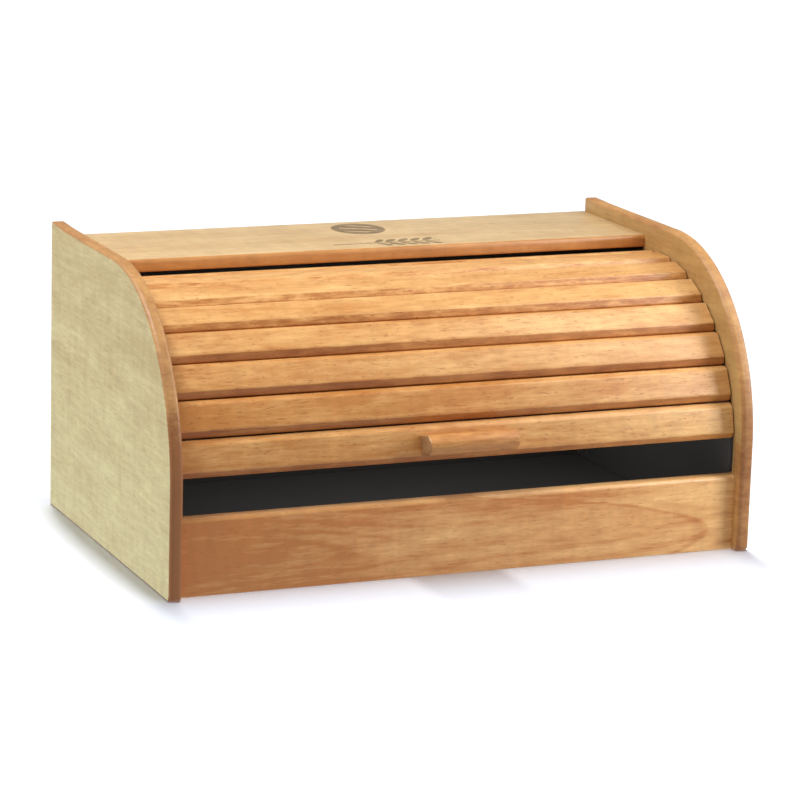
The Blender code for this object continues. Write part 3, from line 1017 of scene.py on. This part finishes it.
@dataclass
class SidePanels:
    """The two side panels: round front edge, routed track, housings for the thin boards.

    The front edge is painted warmer and darker low down and in front as painted shade, most on the
    left panel, and the faces are warmer higher up.
    """

    track: Track
    arc_depth: float = 113.0 * MM
    arc_height: float = 119.5 * MM
    corner_radii: tuple[float, ...] = (3.2 * MM, 1.6 * MM, 1.6 * MM, 1.6 * MM)
    front_rounding: float = 2.5 * MM
    back_rounding: float = 0.9 * MM
    rounding_run: float = 30.0 * MM
    nose: float = 3.0 * MM
    flat_ring: float = 1.25
    groove_inner: float = 104.95 * MM
    groove_outer: float = 109.38 * MM
    groove_depth: float = 4.5 * MM
    groove_start: float = radians(-5.4)
    groove_end: float = radians(206.5)
    housing_depth: float = 4.0 * MM
    clearance: float = 0.3 * MM
    overcut: float = 2.0 * MM
    skin: float = 0.004
    painted_shade_top: float = 120.0 * MM
    painted_shade_back: float = 20.0 * MM
    painted_shade_blend: float = 40.0 * MM
    painted_shade_warmth: float = 0.62
    left_warmer: float = 0.26
    foot_warmth: float = -0.15
    rise_in_warmth: float = 0.6
    log_step: tuple[float, float, float] = (0.31, 0.17, 0.11)

    def outline(self, node: str) -> Array:
        """The panel seen from its side, anticlockwise in depth and height.

        The front edge is straight, then a quarter of an ellipse up into the level top; the
        other corners are small arcs.

        Args:
            node: the panel's frame node.

        Returns:
            (n, 2) outline.
        """
        low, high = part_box(node)
        steps, gap = 8, 14
        square = rounded_polygon(rectangle(node), self.corner_radii, steps)[:3 * (steps + 1)]
        turn = np.linspace(pi / 2, pi, 72)
        curve = np.stack((low.y + self.arc_depth * (1 + np.cos(turn)),
                          high.z - self.arc_height * (1 - np.sin(turn))), axis=1)
        level = np.linspace(square[-1], curve[0], gap)[1:-1]
        upright = np.linspace(curve[-1], square[0], gap)[1:-1]
        return np.vstack((square, level, curve, upright))

    def rounding(self, outline: Array, low: Vector, high: Vector) -> Array:
        """Radius of the edge rounding round the outline: large in front, small behind.

        It grows from the back with v * v * (3 - 2v), where v is the way from the back over
        the run, and stays small along the foot.

        Args:
            outline: the panel's outline.
            low: lowest corner of the panel's box.
            high: its highest corner.

        Returns:
            (n,) radii.
        """
        way = np.clip((high.y - outline[:, 0]) / self.rounding_run, 0.0, 1.0)
        is_foot = outline[:, 1] < low.z + 0.5 * MM
        foot = np.where(is_foot & (outline[:, 0] > low.y + self.nose), 0.0, 1.0)
        growth = way * way * (3 - 2 * way) * foot
        return self.back_rounding + (self.front_rounding - self.back_rounding) * growth

    def build(self, node: str, side: int) -> None:
        """Make one side panel on its frame node.

        Rings run round the outline. Each sits at a place across the thickness and is drawn in
        along the outline's normals, by a quarter circle at both faces.

        Args:
            node: the panel's frame node.
            side: -1 on the left, +1 on the right.
        """
        low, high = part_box(node)
        outer_x, inner_x = (low.x, high.x) if side < 0 else (high.x, low.x)
        outline = self.outline(node)
        radius = self.rounding(outline, low, high)
        level, inset = np.vstack(((0.0, self.flat_ring), edge_stations(1.0, 7))).T
        flat = outline + inward_normals(outline) * (inset[:, None] * radius)[..., None]
        outer, inner = (np.concatenate(
            ((start + inward * level[:, None] * radius)[..., None], flat), axis=2)
            for start, inward in ((outer_x, -side), (inner_x, side)))
        piece = loft(node + "_board", np.concatenate((outer, inner[::-1])))
        carve(piece, self.cutters(side, inner_x))
        points = places(piece)
        across = (points[:, 0] - inner_x) / (outer_x - inner_x)
        is_rim = (across > self.skin) & (across < 1.0 - self.skin)
        mark(piece, "rim", is_rim)
        # outer: the outward side, which takes painted light.
        mark(piece, "outer", across > 0.5)
        # Painted shade: the front edge darkens low down and in front, more on the left panel.
        low_down = np.clip((self.painted_shade_top - points[:, 2]) / self.painted_shade_blend, -0.1, 1.0)
        in_front = np.clip((self.painted_shade_back - points[:, 1]) / self.painted_shade_blend, 0.0, 1.0)
        painted_darkness = (self.painted_shade_warmth - self.left_warmer * side) * low_down * in_front
        face = self.rise_in_warmth * points[:, 2] / high.z + self.foot_warmth
        set_grain(piece, Grain.PANEL, side * np.array(self.log_step),
                  np.where(is_rim, painted_darkness, face))
        dress(piece, PANEL_WOOD, node, BODY_BOX)

    def cutters(self, side: int, inner_x: float) -> list[bpy.types.Object]:
        """The track and the housings of the bottom board and back panel.

        Args:
            side: -1 on the left, +1 on the right.
            inner_x: X of the panel's inner face.

        Returns:
            Closed cutters, to be taken out of the panel.
        """
        angle = np.linspace(self.groove_start, self.groove_end, 110)
        inner, outer = (self.track.section(angle, np.array((0.0, radius)))
                        for radius in (self.groove_inner, self.groove_outer))
        cuts = (
            (np.vstack((outer, inner[::-1])), self.groove_depth),
            (rectangle("bottom_board", self.clearance), self.housing_depth),
            (rectangle("back_panel", self.clearance, self.overcut - self.clearance),
             self.housing_depth))
        return [loft("cutter", across_x(
            inner_x + side * np.array((-self.overcut, depth)), section))
            for section, depth in cuts]


@dataclass
class Boards:
    """Top board, front rail, bottom board and back panel."""

    top_rounding: float = 3.0 * MM
    rail_rounding: float = 2.6 * MM
    small: float = 0.5 * MM
    tight: float = 0.25 * MM
    sinking: float = 2.05 * MM
    sinking_depth: float = 0.9 * MM

    def top(self) -> None:
        """The top board, rounded along its front edge."""
        low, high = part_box("top_board")
        radii = (1.5 * MM, self.small, self.small, self.top_rounding)
        piece = extrude_x("top_board_board", rounded_polygon(rectangle("top_board"), radii, 7),
                          high.x + self.tight, self.small)
        mark(piece, "rim", places(piece)[:, 1] < low.y + self.top_rounding * 0.62)
        set_grain(piece, Grain.SHELF, (0.9, 0.23, 0.4), -0.05)
        dress(piece, TOP_WOOD, "top_board", BODY_BOX)

    def rail(self) -> None:
        """The front rail, with a groove behind for the bottom board."""
        low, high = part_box("front_rail")
        (front, foot), _, (_, head), _ = rectangle("bottom_board", self.tight)
        corners = np.array((
            (low.y, low.z), (high.y, low.z), (high.y, foot), (front, foot), (front, head),
            (high.y, head), (high.y, high.z), (low.y, high.z)))
        radii = np.array((0.8, 0.6, 0.1, 0.1, 0.1, 0.3, 0.8, self.rail_rounding / MM)) * MM
        piece = extrude_x("front_rail_board", rounded_polygon(corners, radii, 7),
                          high.x + self.tight, 0.05 * MM)
        points = places(piece)
        mark(piece, "rim", points[:, 2] > high.z - self.rail_rounding * 0.8)
        # Tone: painted shade, darker and warmer towards the rail's left end.
        set_grain(piece, Grain.RAIL, (0.0, 0.0, 0.0), 0.04 - 0.30 * points[:, 0] / high.x)
        dress(piece, RAIL_WOOD, "front_rail", BODY_BOX)

    def thin(self, node: str) -> bpy.types.Object:
        """Make a thin board with all its edges eased.

        Args:
            node: its frame node.

        Returns:
            The board, not yet dressed.
        """
        return extrude_x(node + "_board", rounded_polygon(rectangle(node), self.small, 7),
                         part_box(node)[1].x, self.small)

    def bottom(self) -> None:
        """The thin bottom board, painted charcoal on its upper side as painted shade."""
        piece = self.thin("bottom_board")
        mark(piece, "inner", places(piece)[:, 2] > middle("bottom_board").z)
        set_grain(piece, Grain.SHELF, (1.7, 0.6, 0.2))
        dress(piece, SHADE_PAINTED_BOARD, "bottom_board", BODY_BOX)

    def back(self) -> None:
        """The thin back panel, with a shallow sinking round each nail's head."""
        piece = self.thin("back_panel")
        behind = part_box("back_panel")[1].y + 1 * MM
        sinking = np.array(((self.sinking, 0.0), (self.sinking, 1 * MM + self.sinking_depth)))
        heads = [middle(node) for node in frame["nodes"] if "nail" in node]
        carve(piece, [turned("cutter", sinking, Vector((head.x, behind, head.z)), FORWARD, 24)
                      for head in heads])
        # Painted shade: the inner side is painted charcoal.
        mark(piece, "inner", places(piece)[:, 1] < middle("back_panel").y)
        set_grain(piece, Grain.RAIL, (2.3, 0.9, 0.5))
        dress(piece, SHADE_PAINTED_BOARD, "back_panel", BODY_BOX)

    def build(self) -> None:
        """Make all four boards."""
        self.top()
        self.rail()
        self.bottom()
        self.back()


# ---- the roll top -------------------------------------------------------------------------------
def bevelled(top: float, bottom: float, back: float, face: float, bevel: float) -> Array:
    """Section of a bar whose face has a bevel along both long edges.

    Args:
        top: offset of its upper side.
        bottom: offset of its lower side.
        back: radius of its back.
        face: radius of its face.
        bevel: how far each bevel goes, both ways.

    Returns:
        (6, 2) anticlockwise offsets and radii.
    """
    return np.array(((top, back), (top, face - bevel), (top - bevel, face),
                     (bottom + bevel, face), (bottom, face - bevel), (bottom, back)))


@dataclass
class RollTop:
    """Nine slats on a canvas, with a handle screwed to the lowest one.

    The tuples give, for each slat from the lowest up, how much painted shade darkens its lower
    bevel, how warm it is, and how much painted shade makes its left end warmer than its middle.
    """

    track: Track
    pitch: float = radians(12.55)
    first_edge: float = radians(6.5)
    width: float = 22.7 * MM
    bevel: float = 3.4 * MM
    tongue_width: float = 17.0 * MM
    tongue_thickness: float = 3.2 * MM
    tongue_chamfer: float = 0.8 * MM
    tongue_inset: float = 0.3 * MM
    tongue_ease: float = 0.4 * MM
    side_gap: float = 0.6 * MM
    end_rounding: float = 0.7 * MM
    end_wear: float = 0.8
    log_step: tuple[float, float, float] = (0.47, 0.113, 0.061)
    handle_log: tuple[float, float, float] = (3.1, 0.7, 0.2)
    handle_warmth: float = 0.05
    bevel_shade: tuple[float, ...] = (0.9, 1.0, 0.95, 0.8, 0.65, 0.5, 0.35, 0.3, 0.3)
    tones: tuple[float, ...] = (0.12, 0.28, 0.14, 0.02, -0.04, -0.06, 0.0, 0.04, 0.04)
    left_end_shade: tuple[float, ...] = (0.34, 0.20, 0.12, 0.08, 0.0, -0.04, 0.0, 0.0, 0.0)
    cloth_thickness: float = 0.5 * MM
    cloth_gap: float = 0.35 * MM
    handle_reach: float = 16.5 * MM
    handle_gap: float = 0.1 * MM
    handle_top: float = 4.8 * MM
    handle_bottom: float = -7.9 * MM
    handle_bevel: float = 4.6 * MM
    handle_rounding: float = 1.2 * MM

    def angle(self, index: Array | int) -> Array | float:
        """Angle of a slat's middle on the track."""
        return self.first_edge + (index + 0.5) * self.pitch

    def slat(self, index: int) -> bpy.types.Object:
        """One slat: its section is carried along X and steps in to a tongue at both ends.

        Args:
            index: 0 for the lowest slat.

        Returns:
            The slat.
        """
        node = f"slat_{index + 1:02d}"
        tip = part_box(node)[1].x
        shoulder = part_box("side_panel_right")[0].x - self.side_gap
        half, back = self.width / 2, self.track.inner_radius
        body = rounded_polygon(bevelled(half, -half, back, self.track.face_radius, self.bevel),
                               np.array((0.4, 0.8, 2.6, 2.6, 0.8, 0.4)) * MM, 5)
        half, back = self.tongue_width / 2, back + self.tongue_inset
        tongue = rounded_polygon(
            bevelled(half, -half, back, back + self.tongue_thickness, self.tongue_chamfer),
            0.2 * MM, 5)
        depth, inset = edge_stations(self.end_rounding, 4).T
        x = np.concatenate(((tip, tip - self.tongue_ease, shoulder), shoulder - depth))
        sections = np.stack([shrink(tongue, self.tongue_ease), tongue, tongue,
                             *(shrink(body, amount) for amount in inset)])
        end = across_x(x, self.track.section(self.angle(index), sections))
        mirrored = end[::-1] * np.array((-1.0, 1.0, 1.0))
        piece = loft(node + "_board", np.concatenate((end, mirrored)))
        local = self.track.local(self.angle(index), places(piece))
        at_end = np.abs(local[:, 0]) > shoulder - 0.3 * MM
        below = local[:, 1] < self.bevel - self.width / 2 - 0.2 * MM
        # Painted shade: lower bevels take the darker rim colour, most on the lowest slats; the
        # ends take it as end grain.
        mark(piece, "rim", np.where(at_end, self.end_wear, below * self.bevel_shade[index]))
        mark(piece, "grain", local + np.array(self.log_step) * index)
        # Tone: each slat's own warmth, plus painted shade that darkens the left ends of the lower
        # slats.
        mark(piece, "tone", self.tones[index] - self.left_end_shade[index] * local[:, 0] / shoulder)
        dress(piece, SLAT_WOOD, node, BODY_ROLL, 28.0)
        return piece

    def canvas(self, slats: list[bpy.types.Object]) -> None:
        """The cloth that the slats are glued to.

        It follows the backs of the slats: each is a straight run one slat wide, and the runs
        meet halfway between slats, where the cloth bends and bulges a little.

        Args:
            slats: the slats.
        """
        low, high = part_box("tambour_canvas")
        radius = self.track.inner_radius - self.cloth_gap - self.cloth_thickness / 2
        offsets = np.linspace(-self.width / 2, self.width / 2, 25)
        run = np.stack((offsets, np.full_like(offsets, radius)), axis=1)
        angles = self.angle(np.arange(len(slats)))[:, None]
        line = self.track.section(angles, run).reshape(-1, 2)
        gap = np.linalg.norm(np.diff(line, axis=0), axis=1)
        line = line[np.concatenate(((True,), gap > 0.05 * MM))]
        gap = np.linalg.norm(np.diff(line, axis=0), axis=1)
        length = np.concatenate(((0.0,), np.cumsum(gap)))
        x = np.linspace(low.x, high.x, 171)
        points = across_x(x, line).transpose(1, 0, 2)
        index = np.arange(len(line) * len(x)).reshape(len(line), len(x))
        quads = np.stack((index[:-1, :-1], index[:-1, 1:], index[1:, 1:], index[1:, :-1]), axis=2)
        piece = new_mesh_object("tambour_cloth", points.reshape(-1, 3),
                                quads.reshape(-1, 4).tolist())
        layer = piece.data.uv_layers.new(name="cloth")
        corner = np.empty(len(piece.data.loops), np.int32)
        piece.data.loops.foreach_get("vertex_index", corner)
        flat = np.stack(np.meshgrid(x, length), axis=2).reshape(-1, 2)
        layer.data.foreach_set("uv", flat[corner].astype(np.float32).ravel())
        solid = piece.modifiers.new("thickness", "SOLIDIFY")
        solid.thickness = self.cloth_thickness
        solid.offset = 0.0
        dress(piece, CHARCOAL_CANVAS, "tambour_canvas", BODY_ROLL, 180.0)

    def handle(self) -> None:
        """The handle bar: bevelled along its front, with eased ends."""
        low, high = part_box("handle")
        face = self.track.face_radius
        section = rounded_polygon(
            bevelled(self.handle_top, self.handle_bottom, face + self.handle_gap,
                     face + self.handle_reach, self.handle_bevel),
            np.array((0.3, 3.0, 2.4, 2.4, 3.6, 0.3)) * MM, 7)
        x, inset = eased_ends(low.x, high.x, self.handle_rounding, 5)
        sections = np.stack([shrink(section, amount) for amount in inset])
        piece = loft("handle_bar", across_x(x, self.track.section(self.angle(0), sections)))
        local = self.track.local(self.angle(0), places(piece))
        mark(piece, "rim", np.abs(local[:, 0]) > high.x - 0.4 * MM)
        mark(piece, "grain", local + np.array(self.handle_log))
        mark(piece, "tone", np.full(len(local), self.handle_warmth))
        dress(piece, HANDLE_WOOD, "handle", BODY_ROLL)

    def build(self) -> None:
        """Make the slats, the cloth and the handle."""
        self.canvas([self.slat(index) for index in range(len(self.tones))])
        self.handle()


@dataclass
class Fasteners:
    """Nails behind, screws in the handle and hidden dowels, each turned on its frame node.

    A profile lists radii and ways along the axis, from the head or the near end.
    """

    track: Track
    screw_angle: float
    screw_offset: float = -1.55 * MM
    screw_start: float = 102.8 * MM
    recess_half: float = 1.5 * MM
    recess_slot: float = 0.35 * MM
    recess_depth: float = 1.1 * MM
    nail_shank: float = 0.8 * MM
    nail_point: float = 1.6 * MM
    dowel_ease: float = 0.5 * MM

    def nail(self, node: str) -> None:
        """A nail whose flat head shows at the back.

        Args:
            node: its frame node.
        """
        low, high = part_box(node)
        length, head, shank = high.y - low.y, (high.x - low.x) / 2, self.nail_shank
        profile = np.array((
            (head * 0.7, 0.0), (head * 0.92, 0.10 * MM), (head, 0.3 * MM), (head, 0.5 * MM),
            (head * 0.85, 0.7 * MM), (shank, 0.8 * MM), (shank, length - self.nail_point),
            (shank * 0.15, length)))
        start = middle(node)
        start.y = high.y
        piece = turned(node + "_turned", profile, start, FORWARD, 28)
        dress(piece, ZINC_STEEL, node, BODY_BOX)

    def screw(self, node: str) -> None:
        """A round-headed screw with a cross recess, driven outwards into the handle.

        Args:
            node: its frame node.
        """
        outward = Vector((0.0, -cos(self.screw_angle), sin(self.screw_angle)))
        along = Vector((0.0, sin(self.screw_angle), cos(self.screw_angle)))
        start = self.track.centre + outward * self.screw_start + along * self.screw_offset
        start.x = middle(node).x
        profile = np.array(((0.9, 0.0), (1.7, 0.15), (2.4, 0.55), (2.8, 1.05), (3.0, 1.6),
                            (3.0, 1.9), (2.9, 2.0), (1.5, 2.05), (1.5, 14.4), (0.2, 16.0))) * MM
        piece = turned(node + "_turned", profile, start, outward, 36)
        tools = []
        for wide, thin in ((ACROSS, along), (along, ACROSS)):
            square = [a * self.recess_half * wide + b * self.recess_slot * thin
                      for a, b in ((-1, -1), (1, -1), (1, 1), (-1, 1))]
            tools.append(loft("cutter", np.array([
                [tuple(start + outward * depth + corner) for corner in square]
                for depth in (-0.5 * MM, self.recess_depth)])))
        carve(piece, tools)
        dress(piece, ZINC_STEEL, node, BODY_ROLL)

    def dowel(self, node: str) -> None:
        """A dowel with eased ends.

        Args:
            node: its frame node.
        """
        low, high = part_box(node)
        length, radius, ease = high.x - low.x, (high.z - low.z) / 2, self.dowel_ease
        profile = np.array(((radius - ease, 0.0), (radius, ease), (radius, length - ease),
                            (radius - ease, length)))
        start = middle(node)
        start.x = low.x
        piece = turned(node + "_turned", profile, start, ACROSS, 28)
        mark(piece, "rim", np.zeros(len(piece.data.vertices)))
        set_grain(piece, Grain.RAIL, (0.7, 0.3, 0.9))
        dress(piece, DOWEL_WOOD, node, BODY_BOX)

    def build(self) -> None:
        """Make every fastener that the frame has."""
        for node in list(frame["nodes"]):
            for kind, make in (("nail", self.nail), ("screw", self.screw), ("dowel", self.dowel)):
                if kind in node:
                    make(node)


# ---- the studio ---------------------------------------------------------------------------------
@dataclass(frozen=True)
class Lamp:
    """A square soft lamp that faces the box.

    It hangs so many degrees to the right of the box's front and above the floor. Its distance
    is from the box, its size is its side, and its power is in watts.
    """

    name: str
    turn: float
    rise: float
    distance: float
    size: float
    power: float


@dataclass(frozen=True)
class Panel:
    """A flat lamp that faces straight down and isn't seen itself.

    Its size is its length across and in depth, and its power is in watts.
    """

    name: str
    place: tuple[float, float, float]
    size: tuple[float, float]
    power: float


@dataclass
class Studio:
    """Pale floor, soft lamps and the camera."""

    azimuth: float = radians(23.2)
    pitch: float = radians(13.17)
    roll: float = radians(1.667)
    distance: float = 2.1982
    aim: Vector = field(default_factory=lambda: Vector((0.0001, -0.0013, 0.0851)))
    lens: float = 154.3
    floor_half: float = 9.0
    floor_colour: Colour = (0.96, 1.0, 1.09, 1.0)
    above: float = 0.27
    below: float = 0.70
    horizon: float = 0.15
    backdrop: float = 1.1
    box_lamps: tuple[Lamp, ...] = (
        Lamp("key", 55, 15, 0.8, 0.25, 2.3),
        Lamp("key_high", 75, 55, 0.8, 0.25, 0.85),
        Lamp("right", 65, 38, 1.6, 0.6, 7.5),
        Lamp("left_high", -85, 62, 1.6, 0.6, 17.0),
        Lamp("left_behind", -115, 38, 1.6, 0.6, 8.5))
    floor_lamp: Panel = Panel("floor_lamp", (0.58, 2.1, 9.0), (1.0, 8.0), 880.0)
    inside_lamp: Panel = Panel("inside_lamp", (0.010, 0.010, 0.150), (0.34, 0.10), 0.094)

    def floor(self) -> bpy.types.Object:
        """Make a large white floor, which doesn't throw its light back on the box.

        Returns:
            The floor.
        """
        corners = np.array(((-1, -1, 0), (1, -1, 0), (1, 1, 0), (-1, 1, 0))) * self.floor_half
        floor = new_mesh_object("floor", corners, [[0, 1, 2, 3]])
        g = Graph(bpy.data.materials.new("white_floor"))
        shader = g.node("ShaderNodeBsdfDiffuse", None, {"Color": self.floor_colour})
        g.node("ShaderNodeOutputMaterial", None, {"Surface": shader})
        floor.data.materials.append(g.owner)
        floor.visible_diffuse = False
        floor.visible_glossy = False
        return floor

    def world(self) -> None:
        """A soft surround: light above, dim below, plain white where it is looked at."""
        g = Graph(bpy.data.worlds.new("surround"))
        bpy.context.scene.world = g.owner
        way = g.node("ShaderNodeTexCoord", output="Generated")
        strength = g.node("ShaderNodeMapRange", None, {
            "Value": g.part(way, "Z"), "From Min": -self.horizon, "From Max": self.horizon,
            "To Min": self.below, "To Max": self.above})
        soft = g.node("ShaderNodeBackground", None, {"Color": WHITE, "Strength": strength})
        plain = g.node("ShaderNodeBackground", None, {"Color": WHITE, "Strength": self.backdrop})
        looked_at = g.node("ShaderNodeLightPath", output="Is Camera Ray")
        both = g.node("ShaderNodeMixShader", None, {0: looked_at, 1: soft, 2: plain})
        g.node("ShaderNodeOutputWorld", None, {"Surface": both})

    def hang(self, lamp: Lamp | Panel, receivers: bpy.types.Collection) -> None:
        """Hang a lamp.

        Args:
            lamp: the lamp.
            receivers: collection that says what it lights or doesn't.
        """
        data = bpy.data.lights.new(lamp.name, "AREA")
        data.energy = lamp.power
        hung = bpy.data.objects.new(lamp.name, data)
        if isinstance(lamp, Lamp):
            data.shape = "SQUARE"
            data.size = lamp.size
            turn, rise = radians(lamp.turn), radians(lamp.rise)
            away = Vector((sin(turn) * cos(rise), -cos(turn) * cos(rise), sin(rise)))
            hung.location = self.aim + away * lamp.distance
            hung.rotation_mode = "QUATERNION"
            hung.rotation_quaternion = (-away).to_track_quat("-Z", "Y")
        else:
            data.shape = "RECTANGLE"
            data.size, data.size_y = lamp.size
            hung.location = lamp.place
            hung.visible_camera = False
        hung.light_linking.receiver_collection = receivers
        bpy.context.scene.collection.objects.link(hung)

    def lamps(self, floor: bpy.types.Object) -> None:
        """Light the box from the right and from the left behind, and the floor from above.

        The floor has a lamp of its own, long in depth and narrow across, so that the box
        throws a short soft shadow on it. A dim lamp under the roof opens up the inside.

        Args:
            floor: the floor.
        """
        keep_off = self.receivers("lamps_keep_off", floor, "EXCLUDE")
        only = self.receivers("floor_lamp_only", floor, "INCLUDE")
        for lamp in self.box_lamps:
            self.hang(lamp, keep_off)
        self.hang(self.floor_lamp, only)
        self.hang(self.inside_lamp, keep_off)

    @staticmethod
    def receivers(name: str, floor: bpy.types.Object, state: str) -> bpy.types.Collection:
        """Make a collection by which a lamp lights only the floor, or all but the floor.

        Args:
            name: its name.
            floor: the floor.
            state: "INCLUDE" for only the floor, "EXCLUDE" for all but it.

        Returns:
            The collection.
        """
        group = bpy.data.collections.new(name)
        group.objects.link(floor)
        group.collection_objects[0].light_linking.link_state = state
        return group

    def camera(self) -> None:
        """The camera, from its turn about the box, its pitch and its small roll."""
        yaw, pitch = self.azimuth, self.pitch
        ahead = Vector((sin(yaw) * cos(pitch), cos(yaw) * cos(pitch), -sin(pitch)))
        level = Vector((cos(yaw), -sin(yaw), 0.0))
        upright = level.cross(ahead)
        right = cos(self.roll) * level + sin(self.roll) * upright
        up = -sin(self.roll) * level + cos(self.roll) * upright
        data = bpy.data.cameras.new("camera")
        data.lens = self.lens
        data.clip_end = 100.0
        camera = bpy.data.objects.new("camera", data)
        turn = Matrix((right, up, -ahead)).transposed().to_4x4()
        camera.matrix_world = Matrix.Translation(self.aim - ahead * self.distance) @ turn
        bpy.context.scene.collection.objects.link(camera)
        bpy.context.scene.camera = camera

    def build(self) -> None:
        """Set the whole studio up."""
        floor = self.floor()
        self.world()
        self.lamps(floor)
        self.camera()
        bpy.context.scene.view_settings.view_transform = "Standard"
        bpy.context.scene.view_settings.look = "None"


def main() -> None:
    """Build the studio and the bread box."""
    logging.basicConfig(level=logging.INFO, format="%(message)s")
    Studio().build()
    track = Track()
    panels = SidePanels(track)
    panels.build("side_panel_left", -1)
    panels.build("side_panel_right", 1)
    Boards().build()
    roll = RollTop(track)
    roll.build()
    Fasteners(track, roll.angle(0)).build()


if __name__ == "__main__":
    main()
